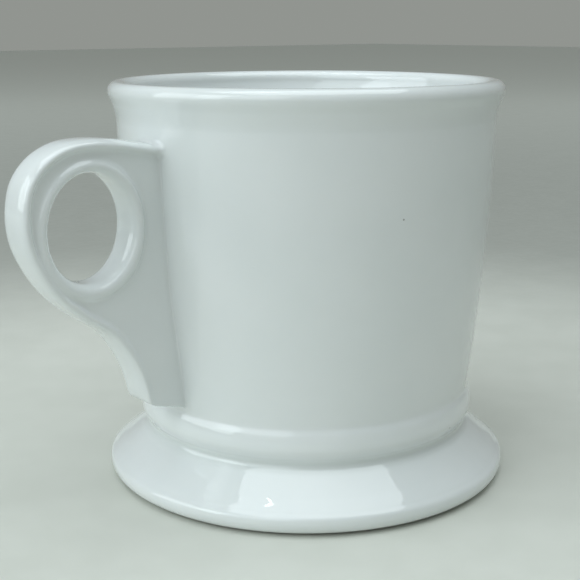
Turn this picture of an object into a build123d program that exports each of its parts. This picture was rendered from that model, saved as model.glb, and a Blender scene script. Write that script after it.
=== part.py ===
from build123d import *
import math
import os

# Shaving mug in glazed pottery: a straight cup with a rolled rim, on a hollow flared foot, with a slab
# handle that holds a one-finger loop. Millimetres. +Z is the bowl's axis and Z = 0 is the surface that
# the mug stands on. The handle lies in the XZ plane and reaches towards -X.

# ---- Driving dimensions ----
MUG_HEIGHT = 92.0            # table to the crest of the rim
JOINT_Z = 12.6               # flat joint between the cup and its foot, at the bottom of the groove
GROOVE_R = 37.8              # outer radius at that joint

# Cup
RIM_TUBE_R = 2.2             # rounded rim, as a tube bent to a ring
RIM_CENTRE_R = 43.0
RIM_INNER_R = RIM_CENTRE_R - RIM_TUBE_R
RIM_OUTER_R = RIM_CENTRE_R + RIM_TUBE_R
RIM_CENTRE_Z = MUG_HEIGHT - RIM_TUBE_R
COVE_Z = 83.0                # where the wall starts to sweep out to the rim
COVE_MID_R = 44.35           # halfway along that sweep
COVE_MID_Z = 87.0
WALL_TOP_R = 43.45
WALL_MID_R = 41.95           # the wall is slightly barrelled
WALL_MID_Z = 51.5
WALL_FOOT_R = 38.75
WALL_FOOT_Z = 21.0           # where the wall meets the bead
WALL_SLOPE = 0.05            # how far the wall leans out per millimetre at its foot
BEAD_R = 39.7                # the raised bead above the groove
BEAD_Z = 15.9
BEAD_UNDER_R = 38.6          # halfway up its underside
BEAD_UNDER_Z = 13.6
BEAD_SHOULDER_R = 39.3       # and on its shoulder
BEAD_SHOULDER_Z = 18.9
BORE_TOP_R = 39.1            # inside of the wall
BORE_TOP_Z = 80.0
BORE_TOP_SLOPE = 0.02
BORE_MID_R = 37.9
BORE_MID_Z = 52.0
BORE_FOOT_R = 35.0
FLOOR_Z = 17.0               # inside floor
FLOOR_FILLET = 8.0

# Foot
FOOT_R = 47.5
FOOT_EDGE_Z = 3.1            # height of the widest line
FLARE_LINE = [               # the flare between the joint and the widest line, as (r, z)
    (38.45, 11.65),
    (40.1, 10.4),
    (43.35, 7.5),
    (46.2, 5.25),
    (47.35, 4.1),
]
FOOT_LIFT = 0.4              # the edge stands clear of the table
FOOT_EDGE_R = 2.7            # rounding under the widest line
STAND_OUTER_R = 43.8         # the ring that touches the table
STAND_INNER_R = 41.2
STAND_CHAMFER = 0.2
HOLLOW_TOP_R = 33.5

# Handle. U is the distance from the bowl's axis towards -X.
LOOP_U = 59.9                # centre of the finger hole
LOOP_Z = 64.35
LOOP_HALF_U = 9.55
LOOP_HALF_Z = 11.1
WEB_THICKNESS = 7.0
BORDER_THICKNESS = 8.8       # the raised borders round the slab and round the hole
EDGE_BORDER_WIDTH = 2.6
LOOP_BORDER_WIDTH = 2.8
BORDER_ROUNDING = 1.1
EDGE_STEPS = 16              # points that carry the edge's shape to its inset copy
ROOT_U = 36.0                # the slab starts inside the wall, and is then cut to fit it
ROOT_TOP_Z = 78.7
ROOT_BOTTOM_Z = 21.7
EDGE_LINE = [                # the outer edge as (u, z), from the top of the root to the lower end
    (ROOT_U, ROOT_TOP_Z),
    (45.0, 80.3),
    (59.5, 82.5),
    (68.4, 80.5),
    (74.1, 75.0),
    (75.8, 66.4),
    (73.1, 57.0),
    (66.6, 48.4),
    (56.6, 41.1),
    (52.9, 36.0),
    (50.4, 31.0),
    (49.3, 27.6),
    (47.9, 25.0),
]
EDGE_START_SLOPE = 0.15      # the edge leaves the wall slightly uphill
EDGE_END_SLOPE = 0.7         # and ends leaning back towards it


def wall_side():
    """The cup's outside from the joint up to the cove: the bead, then the barrelled wall, as (r, z) lines."""
    bead = Spline(
        (GROOVE_R, JOINT_Z),
        (BEAD_UNDER_R, BEAD_UNDER_Z),
        (BEAD_R, BEAD_Z),
        (BEAD_SHOULDER_R, BEAD_SHOULDER_Z),
        (WALL_FOOT_R, WALL_FOOT_Z),
        tangents=[(0, 1), (WALL_SLOPE, 1)],
    )
    wall = ThreePointArc(bead @ 1, (WALL_MID_R, WALL_MID_Z), (WALL_TOP_R, COVE_Z))
    return [bead, wall]


def rim_side(start):
    """The cove up from start, round over the crest and down to the inside of the wall."""
    cove = Spline(
        start, (COVE_MID_R, COVE_MID_Z), (RIM_OUTER_R, RIM_CENTRE_Z), tangents=[(0, 1), (0, 1)]
    )
    crest = ThreePointArc(cove @ 1, (RIM_CENTRE_R, MUG_HEIGHT), (RIM_INNER_R, RIM_CENTRE_Z))
    throat = Spline(crest @ 1, (BORE_TOP_R, BORE_TOP_Z), tangents=[(0, -1), (-BORE_TOP_SLOPE, -1)])
    return [cove, crest, throat]


def bore_side(start):
    """The inside of the wall from start down to the floor, with a rounded corner."""
    floor_r = BORE_FOOT_R - FLOOR_FILLET
    corner_z = FLOOR_Z + FLOOR_FILLET
    diagonal = FLOOR_FILLET * math.sqrt(0.5)
    bore = ThreePointArc(start, (BORE_MID_R, BORE_MID_Z), (BORE_FOOT_R, corner_z))
    corner = ThreePointArc(bore @ 1, (floor_r + diagonal, corner_z - diagonal), (floor_r, FLOOR_Z))
    return [bore, corner]


def turned(lines):
    """Solid of revolution about the bowl's axis, from a closed half-section in (r, z)."""
    return revolve(Plane.XZ * make_face(lines), axis=Axis.Z)


def cup():
    """The bowl: bead, wall, rolled rim, bore and floor."""
    outside = wall_side()
    rim = rim_side(outside[-1] @ 1)
    inside = bore_side(rim[-1] @ 1)
    base = Polyline(inside[-1] @ 1, (0, FLOOR_Z), (0, JOINT_Z), (GROOVE_R, JOINT_Z))
    return turned(outside + rim + inside + [base])


def cup_envelope():
    """The cup's outer shape with its hollow filled in, which trims the handle's root."""
    outside = wall_side()
    base = Polyline(outside[-1] @ 1, (0, COVE_Z), (0, JOINT_Z), (GROOVE_R, JOINT_Z))
    return turned(outside + [base])


def foot():
    """The hollow flared foot, standing on a narrow ring."""
    flare = Spline(
        (GROOVE_R, JOINT_Z), *FLARE_LINE, (FOOT_R, FOOT_EDGE_Z), tangents=[(0, -1), (0, -1)]
    )
    underside_r = FOOT_R - FOOT_EDGE_R
    diagonal = FOOT_EDGE_R * math.sqrt(0.5)
    edge = ThreePointArc(
        flare @ 1, (underside_r + diagonal, FOOT_EDGE_Z - diagonal), (underside_r, FOOT_LIFT)
    )
    stand = Polyline(
        edge @ 1,
        (STAND_OUTER_R, FOOT_LIFT),
        (STAND_OUTER_R - STAND_CHAMFER, 0),
        (STAND_INNER_R, 0),
        (STAND_INNER_R, FOOT_LIFT),
        (HOLLOW_TOP_R, JOINT_Z),
        (GROOVE_R, JOINT_Z),
    )
    return turned([flare, edge, stand])


def handle_edge():
    """The handle's outer edge in side view, from the top of the root round to the lower end."""
    return Spline(*EDGE_LINE, tangents=[(1, EDGE_START_SLOPE), (-EDGE_END_SLOPE, -1)])


def inset_edge(width):
    """The same edge, moved inwards by width along its normals."""
    edge = handle_edge()
    points = []
    for step in range(EDGE_STEPS + 1):
        along = step / EDGE_STEPS
        tangent = edge % along
        points.append(edge @ along + Vector(tangent.Y, -tangent.X) * width)
    return Spline(*points)


def side_view(edge, root_u):
    """Face between an edge curve and a straight side inside the wall, at root_u."""
    sides = Polyline(edge @ 1, (root_u, ROOT_BOTTOM_Z), edge @ 0)
    return make_face([edge, sides])


def loop_hole(growth):
    """The finger hole's ellipse, made larger by growth all round."""
    return Pos(LOOP_U, LOOP_Z) * Ellipse(LOOP_HALF_U + growth, LOOP_HALF_Z + growth)


def slab(face, thickness):
    """A side-view face thickened evenly about the handle's middle plane."""
    return extrude(face, amount=thickness / 2, both=True)


def flat_edges(border, shortest):
    """The edges of a border's two flat sides that are longer than shortest."""
    return [edge for edge in border.faces().filter_by(Axis.Z).edges() if edge.length > shortest]


def edge_border(side):
    """The raised border along the outer edge, rounded."""
    core = side_view(inset_edge(EDGE_BORDER_WIDTH), ROOT_U - EDGE_BORDER_WIDTH)
    border = slab(side, BORDER_THICKNESS) - slab(core, 2 * BORDER_THICKNESS)
    return fillet(flat_edges(border, ROOT_TOP_Z), BORDER_ROUNDING)


def loop_border():
    """The raised border round the finger hole, rounded."""
    border = slab(loop_hole(LOOP_BORDER_WIDTH), BORDER_THICKNESS) - slab(loop_hole(0), 2 * BORDER_THICKNESS)
    return fillet(flat_edges(border, 0), BORDER_ROUNDING)


def handle():
    """The slab with its two raised borders and finger hole, cut to sit on the cup's wall."""
    side = side_view(handle_edge(), ROOT_U)
    web = slab(side, WEB_THICKNESS) - slab(loop_hole(LOOP_BORDER_WIDTH / 2), 2 * WEB_THICKNESS)
    laid_out = web + edge_border(side) + loop_border()
    upright = Rot(Z=180) * (Rot(X=90) * laid_out)
    return upright - cup_envelope()


def write(name, solid):
    """One STEP file per piece."""
    export_step(solid, f"parts/{name}.step")


os.makedirs("parts", exist_ok=True)
write("cup", cup())
write("foot", foot())
write("handle", handle())
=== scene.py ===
import math

import bpy
import numpy as np
from mathutils import Matrix, Vector


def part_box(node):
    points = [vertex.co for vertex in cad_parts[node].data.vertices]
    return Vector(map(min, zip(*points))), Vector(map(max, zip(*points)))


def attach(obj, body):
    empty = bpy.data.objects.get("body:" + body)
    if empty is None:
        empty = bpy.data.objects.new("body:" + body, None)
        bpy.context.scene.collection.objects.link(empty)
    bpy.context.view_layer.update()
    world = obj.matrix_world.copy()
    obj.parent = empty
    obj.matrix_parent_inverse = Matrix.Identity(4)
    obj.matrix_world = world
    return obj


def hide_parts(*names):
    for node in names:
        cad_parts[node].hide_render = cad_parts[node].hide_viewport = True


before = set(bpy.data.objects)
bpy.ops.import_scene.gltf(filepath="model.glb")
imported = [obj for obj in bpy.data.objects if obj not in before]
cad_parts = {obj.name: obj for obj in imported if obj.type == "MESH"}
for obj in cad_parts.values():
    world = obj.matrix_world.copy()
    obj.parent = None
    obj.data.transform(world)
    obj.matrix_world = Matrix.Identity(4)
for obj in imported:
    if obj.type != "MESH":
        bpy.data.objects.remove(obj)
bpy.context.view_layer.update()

# ---------------------------------------------------------------------------
# Dimensions in millimetres, as in the CAD model. MM turns them into metres.
# R is the distance from the bowl's axis. The handle reaches towards -X, so in
# its own plane U = -X and Z is up, and V = Y is across its thickness.
# ---------------------------------------------------------------------------
MM = 0.001
HEIGHT = 1000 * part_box("cup")[1].z           # table to the crest of the rim
JOINT_Z = 1000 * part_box("foot")[1].z         # the cup stands on its foot here
GROOVE_R = 38.1
# The bead above the joint, up to the foot of the wall, and the flare below the joint, both as (r, z).
BEAD = [(38.35, 13.4), (39.0, 14.4), (39.65, 15.8), (39.7, 17.3), (39.3, 19.4)]
FLARE = [(38.3, 11.95), (38.9, 11.25), (40.1, 10.2), (43.35, 7.5), (46.2, 5.25), (47.35, 4.1)]
WALL_LEAN = 0.05                             # how far the wall leans out per millimetre at its two ends
RIM_R, RIM_TUBE = 43.0, 2.2
WALL_TOP, WALL_MID, WALL_FOOT = (43.45, 83.0), (41.95, 51.5), (38.75, 21.0)
BORE_TOP, BORE_MID, BORE_FOOT = (39.1, 80.0), (37.9, 52.0), (35.0, 25.0)
COVE_MID, THROAT_MID = (44.25, 87.0), (39.75, 86.0)   # halfway up the sweep to the rim, outside and inside
FLOOR_Z, FLOOR_FILLET = 17.0, 8.0
FLOOR_HUB_R = 1.0                            # the flat discs inside this radius are fans of triangles
FOOT_R, FOOT_EDGE_Z, FOOT_EDGE_R, FOOT_LIFT = 47.5, 3.1, 2.7, 0.4
STAND_OUTER, STAND_INNER, HOLLOW_TOP_R = 43.7, 41.2, 33.5
UNDERCUT = (44.3, 0.5)                       # the narrow gap between the foot's edge and the standing ring
HOLLOW_SIDE = [(40.3, 1.9), (36.6, 7.3)]     # the hollow's flank
TURNS = 384                                  # segments round the axis

# Handle
HOLE_CENTRE, HOLE_HALF = (59.9, 64.35), (9.55, 11.1)
# The outer edge as (u, z), from inside the wall at the top of the root, round the loop, to below the tail.
EDGE = [
    (36.0, 79.0), (45.0, 80.5), (54.0, 82.1), (59.5, 82.5), (65.4, 81.8), (70.4, 79.3),
    (74.2, 74.9), (75.7, 69.3), (75.5, 63.4), (73.0, 56.9), (69.0, 51.1), (63.4, 46.0),
    (56.6, 41.1), (52.9, 36.0), (50.5, 31.0), (49.5, 27.6), (48.7, 24.0), (47.8, 19.0),
]
WEB_HALF = 3.45                              # half the thickness of the recessed web
BEAD_HALF = 4.4                              # half the thickness at the two raised borders
LOOP_BEAD, LOOP_SWELL = 1.65, 0.4            # half-width of the border round the hole, and its gain below
# The outer border stands proud beside the loop and sinks into a flat tail below it:
# height of the edge, half-width, half-thickness.
EDGE_BEAD = [(17.0, 1.4, 4.25), (30.0, 1.4, 4.25), (45.0, 1.45, 4.3), (57.0, 1.5, 4.4)]
TAIL_HALF, TAIL_FROM, TAIL_TO = 4.1, 48.0, 33.0   # half the tail's thickness, and where the web swells to it
CUT_Z, CUT_SLOPE, CUT_CORNER = 22.65, 0.25, 3.0   # the nearly square lower end, and its rounded outer corner
LIP_ROUND = 0.45                             # rounding of that end's rims
# Rounding where the borders, the hole's rim and the web run into each other.
WEB_BLEND, EDGE_BLEND, LOOP_BLEND, HOLE_ROUND = 0.4, 0.7, 0.8, 0.3
# Fillet at the root, and how much wider it gets over a range of heights at the top.
ROOT_FILLET, ROOT_GAIN, ROOT_FROM, ROOT_TO = 0.5, 0.9, 75.0, 80.0
ROOT_LAP, ROOT_DEPTH = 0.012, 0.4            # how far the fillet laps the wall, and the end goes into it
GRID = 0.36                                  # step of the grid that the handle's surface is read from


# ---------------------------------------------------------------------------
# Small geometry helpers
# ---------------------------------------------------------------------------
def flow(points, start=None, end=None, step=0.4):
    """A smooth curve through points, sampled about every step. start and end are its end directions."""
    p = np.array(points, float)
    span = np.linalg.norm(np.diff(p, axis=0), axis=1)
    slope = np.diff(p, axis=0) / span[:, None]
    tangent = np.empty_like(p)
    tangent[0], tangent[-1] = slope[0], slope[-1]
    for i in range(1, len(p) - 1):
        a, b = span[i - 1], span[i]
        tangent[i] = (slope[i - 1] * b + slope[i] * a) / (a + b)
    for i, given in ((0, start), (-1, end)):
        if given is not None:
            tangent[i] = np.array(given, float) / np.linalg.norm(given)
    out = [p[:1]]
    for i, length in enumerate(span):
        count = max(2, int(math.ceil(length / step)))
        t = np.linspace(0, 1, count + 1)[1:, None]
        out.append((2 * t**3 - 3 * t**2 + 1) * p[i] + (t**3 - 2 * t**2 + t) * length * tangent[i]
                   + (3 * t**2 - 2 * t**3) * p[i + 1] + (t**3 - t**2) * length * tangent[i + 1])
    return np.concatenate(out)


def bow(a, b, c, step=0.4):
    """The circular arc from a through b to c."""
    a, b, c = (np.array(q, float) for q in (a, b, c))
    m = np.array([2 * (b - a), 2 * (c - a)])
    centre = np.linalg.solve(m, [b @ b - a @ a, c @ c - a @ a])
    angle = [math.atan2(*(q - centre)[::-1]) for q in (a, b, c)]
    sweep = (angle[2] - angle[0]) % (2 * math.pi)
    if (angle[1] - angle[0]) % (2 * math.pi) > sweep:
        sweep -= 2 * math.pi
    radius = np.linalg.norm(a - centre)
    count = max(3, int(abs(sweep) * radius / step))
    turn = angle[0] + np.linspace(0, sweep, count + 1)
    return centre + radius * np.stack([np.cos(turn), np.sin(turn)], 1)


def line(a, b, step=0.4):
    """The straight run from a to b."""
    count = max(1, int(math.dist(a, b) / step))
    return np.linspace(a, b, count + 1)


def chain(*runs):
    """Runs joined end to end, with the shared points kept once."""
    out = [runs[0]]
    for run in runs[1:]:
        out.append(run[1:])
    return np.concatenate(out)


def wobble(turn, z):
    """How far the thrown wall wanders from a true circle, in millimetres, at an angle and a height."""
    rise = np.clip(z / HEIGHT, 0, 1)
    oval = 0.11 * rise**2 * np.cos(2 * turn + 0.7)
    slow = 0.035 * np.sin(3 * turn + z / 17 + 0.4) + 0.028 * np.sin(5 * turn - z / 23 + 2.1)
    fine = 0.012 * np.sin(9 * turn + z / 6.5) + 0.010 * np.sin(4 * turn + z / 4.1 + 1.3)
    return oval + slow + fine


def piece(name, node, vertices, faces, material, loose=()):
    """A smooth mesh object that stands for a CAD node. Edges between two vertices in loose are sharp."""
    mesh = bpy.data.meshes.new(name)
    mesh.from_pydata((np.asarray(vertices) * MM).tolist(), [], faces)
    mesh.validate()
    mesh.polygons.foreach_set("use_smooth", np.ones(len(mesh.polygons), bool))
    if loose:
        sharp = set(loose)
        marks = mesh.attributes.new("sharp_edge", "BOOLEAN", "EDGE")
        ends = np.empty(2 * len(mesh.edges), int)
        mesh.edges.foreach_get("vertices", ends)
        ends = ends.reshape(-1, 2)
        marks.data.foreach_set("value", [a in sharp and b in sharp for a, b in ends.tolist()])
    mesh.update()
    thing = bpy.data.objects.new(name, mesh)
    bpy.context.scene.collection.objects.link(thing)
    mesh.materials.append(material)
    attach(thing, "root")
    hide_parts(node)
    return thing


def turned(name, node, profile, capped, corners, material):
    """A body turned about the axis from an (r, z) profile. The profile's two ends are closed on the axis
    where capped is True, and joined to each other where it isn't. corners are sharp places."""
    profile = np.array(profile, float)
    turn = np.arange(TURNS) * 2 * math.pi / TURNS
    r, z = profile[:, 0][:, None], profile[:, 1][:, None]
    on_axis = np.clip(r / 20, 0, 1)
    radius = r + wobble(turn[None, :], z) * on_axis
    # The rim isn't quite level either.
    lift = 0.09 * np.clip((z - 60) / 32, 0, 1) * np.sin(2 * turn[None, :] - 0.5) * on_axis
    height = np.broadcast_to(np.minimum(z + lift, HEIGHT + 0.05), radius.shape)
    rows = len(profile)
    body = np.stack([radius * np.cos(turn), radius * np.sin(turn), height], 2)
    vertices = body.reshape(-1, 3).tolist()
    faces = []
    last = rows - 1 if capped else rows
    for i in range(last):
        a0, b0 = i * TURNS, ((i + 1) % rows) * TURNS
        for k in range(TURNS):
            n = (k + 1) % TURNS
            faces.append((a0 + k, a0 + n, b0 + n, b0 + k))
    if capped:
        for row, flip in ((0, True), (rows - 1, False)):
            hub = len(vertices)
            vertices.append([0.0, 0.0, float(profile[row, 1])])
            for k in range(TURNS):
                a, b = row * TURNS + k, row * TURNS + (k + 1) % TURNS
                faces.append((hub, b, a) if flip else (hub, a, b))
    loose = []
    for corner in corners:
        row = int(np.argmin(np.linalg.norm(profile - corner, axis=1)))
        loose += range(row * TURNS, (row + 1) * TURNS)
    return piece(name, node, vertices, faces, material, loose)


# ---------------------------------------------------------------------------
# Profiles
# ---------------------------------------------------------------------------
def outer_wall():
    """The cup's outside from the joint up to the cove."""
    bead = flow([(GROOVE_R, JOINT_Z), *BEAD, WALL_FOOT], (WALL_LEAN, 1), (WALL_LEAN, 1), 0.2)
    wall = bow(WALL_FOOT, WALL_MID, WALL_TOP, 0.6)
    return chain(bead, wall)


def cup_profile():
    """The cup's half-section, from the middle of its underside, over the rim, to the middle of the bowl."""
    rim_z = HEIGHT - RIM_TUBE
    cove = flow([WALL_TOP, COVE_MID, (RIM_R + RIM_TUBE, rim_z)], (0, 1), (WALL_LEAN, 1), 0.25)
    crest = bow((RIM_R + RIM_TUBE, rim_z), (RIM_R, HEIGHT), (RIM_R - RIM_TUBE, rim_z), 0.15)
    throat = flow([(RIM_R - RIM_TUBE, rim_z), THROAT_MID, BORE_TOP], (0, -1), (-0.02, -1), 0.4)
    bore = bow(BORE_TOP, BORE_MID, BORE_FOOT, 0.8)
    diagonal = FLOOR_FILLET * math.sqrt(0.5)
    centre = (BORE_FOOT[0] - FLOOR_FILLET, FLOOR_Z + FLOOR_FILLET)
    corner = bow(BORE_FOOT, (centre[0] + diagonal, centre[1] - diagonal), (centre[0], FLOOR_Z), 0.4)
    floor = line((centre[0], FLOOR_Z), (FLOOR_HUB_R, FLOOR_Z), 1.5)
    base = line((FLOOR_HUB_R, JOINT_Z), (GROOVE_R, JOINT_Z), 3.0)
    return chain(base, outer_wall(), cove, crest, throat, bore, corner, floor)


def foot_profile():
    """The foot's half-section: down the flare, round its edge, across the standing ring and up the hollow."""
    flare = flow([(GROOVE_R, JOINT_Z), *FLARE, (FOOT_R, FOOT_EDGE_Z)], (0, -1), (0, -1), 0.2)
    under = FOOT_R - FOOT_EDGE_R
    diagonal = FOOT_EDGE_R * math.sqrt(0.5)
    edge = bow((FOOT_R, FOOT_EDGE_Z), (under + diagonal, FOOT_EDGE_Z - diagonal), (under, FOOT_LIFT), 0.2)
    gap = [(under, FOOT_LIFT), UNDERCUT, (STAND_OUTER + 0.1, 0.42), (STAND_OUTER - 0.1, 0.0)]
    stand = flow(gap, (-1, 0), (-0.2, -1), 0.1)
    ring = line((STAND_OUTER - 0.1, 0.0), (STAND_INNER + 0.2, 0.0), 0.3)
    flank = [(STAND_INNER + 0.2, 0.0), (STAND_INNER, 0.4), *HOLLOW_SIDE, (HOLLOW_TOP_R, JOINT_Z)]
    inner = flow(flank, (-1, 0.3), (-1, 0.9), 0.3)
    top = line((HOLLOW_TOP_R, JOINT_Z), (GROOVE_R, JOINT_Z), 0.6)
    return chain(flare, edge, stand, ring, inner, top)[:-1]


# ---------------------------------------------------------------------------
# Handle: a field that is negative inside the clay, read on a grid
# ---------------------------------------------------------------------------
def soft_min(a, b, k):
    """The smaller of a and b, rounded over where they differ by less than k."""
    h = np.clip(0.5 + 0.5 * (b - a) / k, 0, 1)
    return b + (a - b) * h - k * h * (1 - h)


def soft_max(a, b, k):
    """The larger of a and b, rounded in the same way."""
    return -soft_min(-a, -b, k)


def fade(x, a, b):
    """0 up to a, 1 from b, smooth between."""
    t = np.clip((x - a) / (b - a), 0, 1)
    return t * t * (3 - 2 * t)


def roll(distance, v, half_width, half_thick, power):
    """A rounded bar: distance is measured from its outer side, v across the handle's thickness."""
    x = np.abs(distance - half_width) / half_width
    y = np.abs(v) / half_thick
    q = np.maximum((x**power + y**power) ** (1 / power), 1e-3)
    grow = q ** (1 - power) * np.hypot(x ** (power - 1) / half_width, y ** (power - 1) / half_thick)
    return np.maximum((q - 1) / np.maximum(grow, 0.05), -half_width)


EDGE_LINE = flow(EDGE, (1, 0.14), (-0.5, -1), 0.4)
WALL_LINE = outer_wall()
TABLE_STEP = 0.15
TABLE_U, TABLE_Z = np.arange(35.0, 79.0, TABLE_STEP), np.arange(16.0, 88.5, TABLE_STEP)


def edge_table():
    """On a grid in the handle's plane: the distance in from its outer edge, and the height of the nearest
    edge point, which counts only on the way down from the widest place."""
    u, z = np.meshgrid(TABLE_U, TABLE_Z, indexing="ij")
    best, side, height = np.full(u.shape, 1e9), np.zeros(u.shape), np.zeros(u.shape)
    widest = int(np.argmax(EDGE_LINE[:, 0]))
    for i, ((au, az), (bu, bz)) in enumerate(zip(EDGE_LINE[:-1], EDGE_LINE[1:])):
        du, dz = bu - au, bz - az
        t = np.clip(((u - au) * du + (z - az) * dz) / (du * du + dz * dz), 0, 1)
        pz = az + t * dz
        far = np.hypot(u - au - t * du, z - pz)
        closer = far < best - 1e-9
        best = np.where(closer, far, best)
        side = np.where(closer, (z - pz) * du - (u - au - t * du) * dz, side)
        height = np.where(closer, pz if i >= widest else 90.0, height)
    return np.where(side > 0, -best, best), height


INSIDE_TABLE, HEIGHT_TABLE = edge_table()
BEAD_CURVE = flow(EDGE_BEAD, end=(1, 0, 0), step=0.5)


def looked_up(table, u, z):
    """A table's value between its grid points."""
    x = np.clip((u - TABLE_U[0]) / TABLE_STEP, 0, len(TABLE_U) - 1.001)
    y = np.clip((z - TABLE_Z[0]) / TABLE_STEP, 0, len(TABLE_Z) - 1.001)
    i, j = x.astype(int), y.astype(int)
    x, y = x - i, y - j
    return ((table[i, j] * (1 - x) + table[i + 1, j] * x) * (1 - y)
            + (table[i, j + 1] * (1 - x) + table[i + 1, j + 1] * x) * y)


def hole_distance(u, z):
    """Distance out from the finger hole's edge, close enough to it."""
    x, y = (u - HOLE_CENTRE[0]) / HOLE_HALF[0], (z - HOLE_CENTRE[1]) / HOLE_HALF[1]
    q = np.maximum(np.hypot(x, y), 1e-3)
    grow = np.hypot(x / HOLE_HALF[0], y / HOLE_HALF[1]) / q
    return (q - 1) / np.maximum(grow, 1e-3)


def handle_field(u, v, z):
    """The whole handle, blended into the cup's wall."""
    inside = looked_up(INSIDE_TABLE, u, z)
    height = looked_up(HEIGHT_TABLE, u, z)
    hole = hole_distance(u, z)
    half_width = np.interp(height, BEAD_CURVE[:, 0], BEAD_CURVE[:, 1])
    half_thick = np.interp(height, BEAD_CURVE[:, 0], BEAD_CURVE[:, 2])
    web_half = WEB_HALF + (TAIL_HALF - WEB_HALF) * (1 - fade(z, TAIL_TO, TAIL_FROM))
    web = soft_max(np.abs(v) - web_half, np.maximum(0.9 * half_width - inside, 1.3 - hole), WEB_BLEND)
    solid = soft_min(web, roll(inside, v, half_width, half_thick, 2.15), EDGE_BLEND)
    loop_half = LOOP_BEAD + LOOP_SWELL * fade(HOLE_CENTRE[1] - z, 0.0, HOLE_HALF[1])
    solid = soft_min(solid, roll(hole, v, loop_half, BEAD_HALF, 2.3), LOOP_BLEND)
    solid = soft_max(solid, -hole, HOLE_ROUND)
    cut = CUT_Z + CUT_SLOPE * (u - 40.0) - z
    solid = soft_max(solid, soft_max(-inside, cut, CUT_CORNER), LIP_ROUND)
    radius = np.hypot(u, v)
    turn = np.arctan2(v, -u)
    wall = np.interp(z, WALL_LINE[:, 1], WALL_LINE[:, 0]) + wobble(turn, z)
    gap = radius - wall
    root = ROOT_FILLET + ROOT_GAIN * fade(z, ROOT_FROM, ROOT_TO)
    blended = soft_min(solid, gap + ROOT_LAP, root)
    return np.maximum(np.maximum(blended, -ROOT_DEPTH - gap), solid - root)


def handle_mesh():
    """Vertices, faces and normals of the field's zero surface."""
    us = np.arange(36.5, 77.6, GRID)
    vs = np.arange(-9.0, 9.01, GRID)
    zs = np.arange(18.5, 86.5, GRID)
    value = handle_field(*np.meshgrid(us, vs, zs, indexing="ij"))
    low = value < 0
    corners = [(i, j, k) for i in (0, 1) for j in (0, 1) for k in (0, 1)]
    shape = tuple(n - 1 for n in value.shape)

    def shifted(a, c):
        return a[c[0]:c[0] + shape[0], c[1]:c[1] + shape[1], c[2]:c[2] + shape[2]]

    count = sum(shifted(low, c).astype(int) for c in corners)
    cells = np.argwhere((count > 0) & (count < 8))
    number = np.full(shape, -1)
    number[tuple(cells.T)] = np.arange(len(cells))
    total, weight = np.zeros((len(cells), 3)), np.zeros(len(cells))
    for one in corners:
        for axis in range(3):
            if one[axis]:
                continue
            other = tuple(c + (n == axis) for n, c in enumerate(one))
            a = value[tuple((cells + one).T)]
            b = value[tuple((cells + other).T)]
            cross = (a < 0) != (b < 0)
            t = np.where(cross, a / np.where(cross, a - b, 1), 0)
            place = np.array(one, float)[None, :] + t[:, None] * np.eye(3)[axis]
            total += np.where(cross[:, None], place, 0)
            weight += cross
    points = (cells + total / weight[:, None]) * GRID + np.array([us[0], vs[0], zs[0]])

    def field_at(p):
        return handle_field(p[:, 0], p[:, 1], p[:, 2])

    def gradient(p, h=0.02):
        return np.stack([(field_at(p + h * e) - field_at(p - h * e)) / (2 * h) for e in np.eye(3)], 1)

    for _ in range(3):
        g = gradient(points)
        move = field_at(points)[:, None] * g / np.maximum((g * g).sum(1), 0.04)[:, None]
        points = points - np.clip(move, -0.3 * GRID, 0.3 * GRID)
    normals = gradient(points)

    faces = []
    for axis in range(3):
        b_axis, c_axis = (axis + 1) % 3, (axis + 2) % 3
        start = [slice(1, -1)] * 3
        start[axis] = slice(0, -1)
        step = list(start)
        step[axis] = slice(1, None)
        first, second = low[tuple(start)], low[tuple(step)]
        for flip, where in ((False, first & ~second), (True, ~first & second)):
            at = np.argwhere(where) + [0 if n == axis else 1 for n in range(3)]
            quad = []
            for db, dc in ((1, 1), (0, 1), (0, 0), (1, 0)):
                cell = at.copy()
                cell[:, b_axis] -= db
                cell[:, c_axis] -= dc
                quad.append(number[tuple(cell.T)])
            quad = np.stack(quad if not flip else quad[::-1], 1)
            faces += quad[(quad >= 0).all(1)].tolist()
    place = np.stack([-points[:, 0], points[:, 1], points[:, 2]], 1)
    facing = np.stack([-normals[:, 0], normals[:, 1], normals[:, 2]], 1)
    facing /= np.maximum(np.linalg.norm(facing, axis=1), 1e-9)[:, None]
    # Mirroring U into X turns the faces inside out, so their order is reversed.
    return place, [f[::-1] for f in faces], facing


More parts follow.
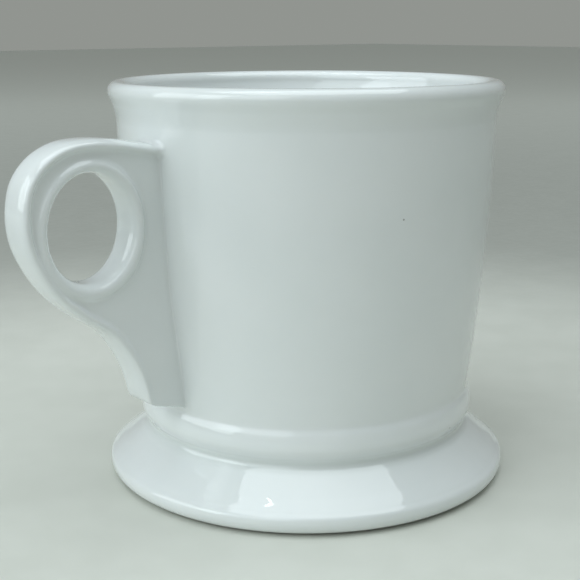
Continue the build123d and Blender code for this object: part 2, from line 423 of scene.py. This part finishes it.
# ---------------------------------------------------------------------------
# Materials
# ---------------------------------------------------------------------------
class Nodes:
    """A short way to write a node tree."""

    def __init__(self, name):
        self.material = bpy.data.materials.new(name)
        self.material.use_nodes = True
        self.tree = self.material.node_tree
        self.shader = self.tree.nodes["Principled BSDF"]

    def add(self, kind, values=None, **settings):
        node = self.tree.nodes.new(kind)
        for key, value in settings.items():
            setattr(node, key, value)
        for key, value in (values or {}).items():
            if isinstance(value, bpy.types.NodeSocket):
                self.tree.links.new(value, node.inputs[key])
            else:
                node.inputs[key].default_value = value
        return node

    def math(self, operation, a, b=0.0, c=0.0):
        return self.add("ShaderNodeMath", {0: a, 1: b, 2: c}, operation=operation).outputs[0]

    def remap(self, value, low, high, to_low=0.0, to_high=1.0, smooth=True):
        kind = "SMOOTHSTEP" if smooth else "LINEAR"
        values = {"Value": value, "From Min": low, "From Max": high, "To Min": to_low, "To Max": to_high}
        return self.add("ShaderNodeMapRange", values, interpolation_type=kind).outputs["Result"]

    def mix(self, factor, a, b):
        node = self.add("ShaderNodeMix", {0: factor}, data_type="RGBA")
        for socket, value in ((node.inputs[6], a), (node.inputs[7], b)):
            if isinstance(value, bpy.types.NodeSocket):
                self.tree.links.new(value, socket)
            else:
                socket.default_value = (*value, 1.0)
        return node.outputs[2]

    def noise(self, where, scale, detail=3.0, rough=0.5):
        values = {"Vector": where, "Scale": scale, "Detail": detail, "Roughness": rough}
        return self.add("ShaderNodeTexNoise", values).outputs["Fac"]

    def times(self, a, b):
        return self.math("MULTIPLY", a, b)

    def place(self):
        """The point, its distance from the bowl's axis, and its height, in metres."""
        where = self.add("ShaderNodeTexCoord").outputs["Object"]
        x, y, z = self.add("ShaderNodeSeparateXYZ", {0: where}).outputs
        radius = self.math("SQRT", self.math("ADD", self.times(x, x), self.times(y, y)))
        return where, radius, z

    def bump(self, height, strength, distance, under=None):
        """A bump, laid over the one given as under."""
        values = {"Strength": strength, "Distance": distance, "Height": height}
        if under is not None:
            values["Normal"] = under
        return self.add("ShaderNodeBump", values).outputs[0]

    def link(self, value, socket):
        self.tree.links.new(value, self.shader.inputs[socket])

    def set(self, values):
        """Constants on the shader's own sockets."""
        for socket, value in values.items():
            self.shader.inputs[socket].default_value = value


def glaze():
    """Clear glossy glaze on white clay: faint tone changes, pooling in the groove that is partly painted
    shade, orange-peel, specks and pinholes, and a bare ring of clay where the mug stands."""
    n = Nodes("white_glaze")
    where, radius, height = n.place()
    cloud = n.noise(where, 26.0, 4.0, 0.55)
    body = n.mix(n.remap(cloud, 0.35, 0.68), (0.764, 0.798, 0.795), (0.794, 0.822, 0.819))
    # Glaze runs down and gathers above the foot, where it looks a little greener. This darker band round the
    # groove and the bead's underside is also painted shade.
    off_groove = n.math("ABSOLUTE", n.math("SUBTRACT", height, 0.0125))
    pool_and_painted_shade = n.times(n.remap(off_groove, 0.0, 0.0022, 1.0, 0.0), n.remap(radius, 0.0370, 0.0378))
    body = n.mix(n.times(pool_and_painted_shade, 0.35), body, (0.68, 0.74, 0.71))
    # A few iron specks and pinholes: in some cells, a dot of that cell's own size.
    values = {"Vector": where, "Scale": 105.0, "Randomness": 1.0}
    specks = n.add("ShaderNodeTexVoronoi", values).outputs
    chosen = n.add("ShaderNodeSeparateColor", {0: specks["Color"]}).outputs
    size = n.remap(chosen[1], 0.0, 1.0, 0.010, 0.030, False)
    spot = n.times(n.math("LESS_THAN", specks["Distance"], size), n.math("GREATER_THAN", chosen[0], 0.82))
    body = n.mix(n.times(spot, 0.62), body, (0.16, 0.15, 0.12))
    # The wiped ring that touches the table, and the gap outside it.
    ring = n.times(n.remap(radius, 0.0400, 0.0408), n.remap(radius, 0.0450, 0.0456, 1.0, 0.0))
    bare = n.times(n.remap(height, 0.00045, 0.00075, 1.0, 0.0), ring)
    grit = n.noise(where, 2400.0, 2.0, 0.6)
    clay = n.mix(n.remap(grit, 0.3, 0.7), (0.34, 0.32, 0.27), (0.50, 0.47, 0.41))
    n.link(n.mix(bare, body, clay), "Base Color")
    # Roughness: glossy, with a faint haze that comes and goes and fine dust.
    haze = n.remap(n.noise(where, 34.0, 5.0, 0.6), 0.35, 0.75, 0.030, 0.080)
    dust = n.remap(n.noise(where, 900.0, 3.0, 0.6), 0.45, 0.85, 0.0, 0.045)
    gloss = n.times(n.math("ADD", haze, dust), n.math("SUBTRACT", 1.0, bare))
    n.link(n.math("ADD", gloss, n.times(bare, 0.78)), "Roughness")
    # Relief: slow waves from the throwing, orange-peel in the glaze, pinholes, bare clay's grain.
    waves = n.bump(n.noise(where, 42.0, 2.0, 0.5), 0.32, 0.00055)
    peel = n.bump(n.noise(where, 420.0, 2.0, 0.5), 0.16, 0.00006, waves)
    grain = n.times(n.times(grit, bare), 3.0)
    n.link(n.bump(n.math("ADD", n.times(spot, -0.5), grain), 0.5, 0.00006, peel), "Normal")
    n.set({
        "IOR": 1.52, "Specular IOR Level": 0.5,
        "Subsurface Weight": 0.06, "Subsurface Radius": (1.0, 0.9, 0.75), "Subsurface Scale": 0.0016,
        "Coat Weight": 0.6, "Coat Roughness": 0.035, "Coat IOR": 1.5,
    })
    return n.material


def table_top():
    """Pale satin laminate. Painted shade darkens it from 0.12 to 0.30 m out, a soft vignette round the mug,
    and painted light brightens it again further out, where the lamps' light falls off.
    """
    n = Nodes("pale_table")
    where, radius, _ = n.place()
    mottle = n.remap(n.noise(where, 60.0, 5.0, 0.6), 0.3, 0.7)
    near = n.mix(mottle, (0.655, 0.668, 0.610), (0.690, 0.702, 0.645))
    # The middle tone is painted shade, darker than the floor near the mug; the far tone is painted light.
    painted_shade_band = n.mix(mottle, (0.395, 0.405, 0.370), (0.415, 0.425, 0.390))
    far = n.mix(mottle, (0.79, 0.81, 0.75), (0.81, 0.83, 0.77))
    inner = n.mix(n.remap(radius, 0.12, 0.30), near, painted_shade_band)
    n.link(n.mix(n.remap(radius, 0.32, 1.40), inner, far), "Base Color")
    n.link(n.remap(n.noise(where, 240.0, 3.0, 0.6), 0.3, 0.7, 0.42, 0.55), "Roughness")
    n.link(n.bump(n.noise(where, 1500.0, 2.0, 0.5), 0.12, 0.0001), "Normal")
    n.set({"Specular IOR Level": 0.35})
    return n.material


# ---------------------------------------------------------------------------
# Build
# ---------------------------------------------------------------------------
glazed = glaze()
joint, hollow_top = (GROOVE_R, JOINT_Z), (HOLLOW_TOP_R, JOINT_Z)
turned("mug_cup", "cup", cup_profile(), True, [joint], glazed)
turned("mug_foot", "foot", foot_profile(), False, [joint, hollow_top], glazed)

place, faces, facing = handle_mesh()
handle_shape = piece("mug_handle", "handle", place, faces, glazed)
handle_shape.data.normals_split_custom_set_from_vertices(facing.tolist())

# ---------------------------------------------------------------------------
# Stage, lights and camera. Directions below are as the camera sees the mug:
# right, towards the camera, and up.
# ---------------------------------------------------------------------------
CAMERA_TURN = math.radians(-41.5)


def seen(right, towards, up):
    """A place given as the camera sees it, in the model's frame."""
    c, s = math.cos(CAMERA_TURN), math.sin(CAMERA_TURN)
    return Vector((right * c + towards * s, right * s - towards * c, up))


FAR = 4.0
floor_mesh = bpy.data.meshes.new("table_top")
floor_mesh.from_pydata([(-FAR, -FAR, 0), (FAR, -FAR, 0), (FAR, FAR, 0), (-FAR, FAR, 0)], [], [(0, 1, 2, 3)])
floor = bpy.data.objects.new("table_top", floor_mesh)
floor_mesh.materials.append(table_top())
bpy.context.scene.collection.objects.link(floor)


def lamp(name, place, size, power, colour=(0.88, 0.965, 1.0)):
    """A rectangular area lamp that points at the middle of the mug."""
    data = bpy.data.lights.new(name, "AREA")
    data.shape = "RECTANGLE"
    data.size, data.size_y = size
    data.energy = power
    data.color = colour
    thing = bpy.data.objects.new(name, data)
    thing.location = place
    thing.rotation_euler = (MIDDLE - place).to_track_quat("-Z", "Y").to_euler()
    bpy.context.scene.collection.objects.link(thing)


MIDDLE = Vector((0, 0, 0.045))
TUBE_COLOUR = (0.92, 0.98, 1.0)
lamp("ceiling_panel", seen(0.05, 0.14, 1.10), (1.3, 1.0), 7.6)
lamp("window_front", seen(-0.85, 1.15, 0.80), (1.5, 1.1), 6.0)
lamp("window_left", seen(-1.15, 0.42, 0.52), (1.1, 0.9), 5.6)
lamp("tube_1", seen(-0.24, 0.04, 1.0), (0.010, 0.50), 0.20, TUBE_COLOUR)
lamp("tube_2", seen(-0.20, 0.14, 1.0), (0.010, 0.12), 0.06, TUBE_COLOUR)

# An even, dim room: the first colour is level with the horizon and below, the second is overhead.
world = bpy.data.worlds.new("soft_room")
world.use_nodes = True
sky = world.node_tree
heading = sky.nodes.new("ShaderNodeTexCoord").outputs["Generated"]
split = sky.nodes.new("ShaderNodeSeparateXYZ")
sky.links.new(heading, split.inputs[0])
ramp = sky.nodes.new("ShaderNodeMapRange")
ramp.interpolation_type = "SMOOTHSTEP"
for socket, value in (("From Min", 0.05), ("From Max", 0.55), ("To Min", 0.0), ("To Max", 1.0)):
    ramp.inputs[socket].default_value = value
sky.links.new(split.outputs[2], ramp.inputs["Value"])
room = sky.nodes.new("ShaderNodeMix")
room.data_type = "RGBA"
room.inputs[6].default_value = (0.285, 0.300, 0.280, 1)
room.inputs[7].default_value = (0.27, 0.29, 0.285, 1)
sky.links.new(ramp.outputs["Result"], room.inputs[0])
sky.links.new(room.outputs[2], sky.nodes["Background"].inputs["Color"])
bpy.context.scene.world = world
bpy.context.scene.view_settings.view_transform = "Standard"

# The camera stands in front of the mug and a little above its rim, looking down. Angles in radians.
camera_data = bpy.data.cameras.new("photo_view")
camera_data.lens, camera_data.sensor_width = 70.41, 36.0   # millimetres
camera_data.clip_start, camera_data.clip_end = 0.01, 20.0
camera = bpy.data.objects.new("photo_view", camera_data)
bpy.context.scene.collection.objects.link(camera)
YAW, PITCH, ROLL = -0.01445, 0.23128, -0.00286
level = seen(math.sin(YAW), -math.cos(YAW), 0)
across = seen(math.cos(YAW), math.sin(YAW), 0)
ahead = level * math.cos(PITCH) - Vector((0, 0, math.sin(PITCH)))
above = level * math.sin(PITCH) + Vector((0, 0, math.cos(PITCH)))
right = across * math.cos(ROLL) + above * math.sin(ROLL)
top = above * math.cos(ROLL) - across * math.sin(ROLL)
turn = Matrix((right, top, -ahead)).transposed().to_4x4()
camera.matrix_world = Matrix.Translation(seen(0, 0.2647, 0.1044)) @ turn
bpy.context.scene.camera = camera
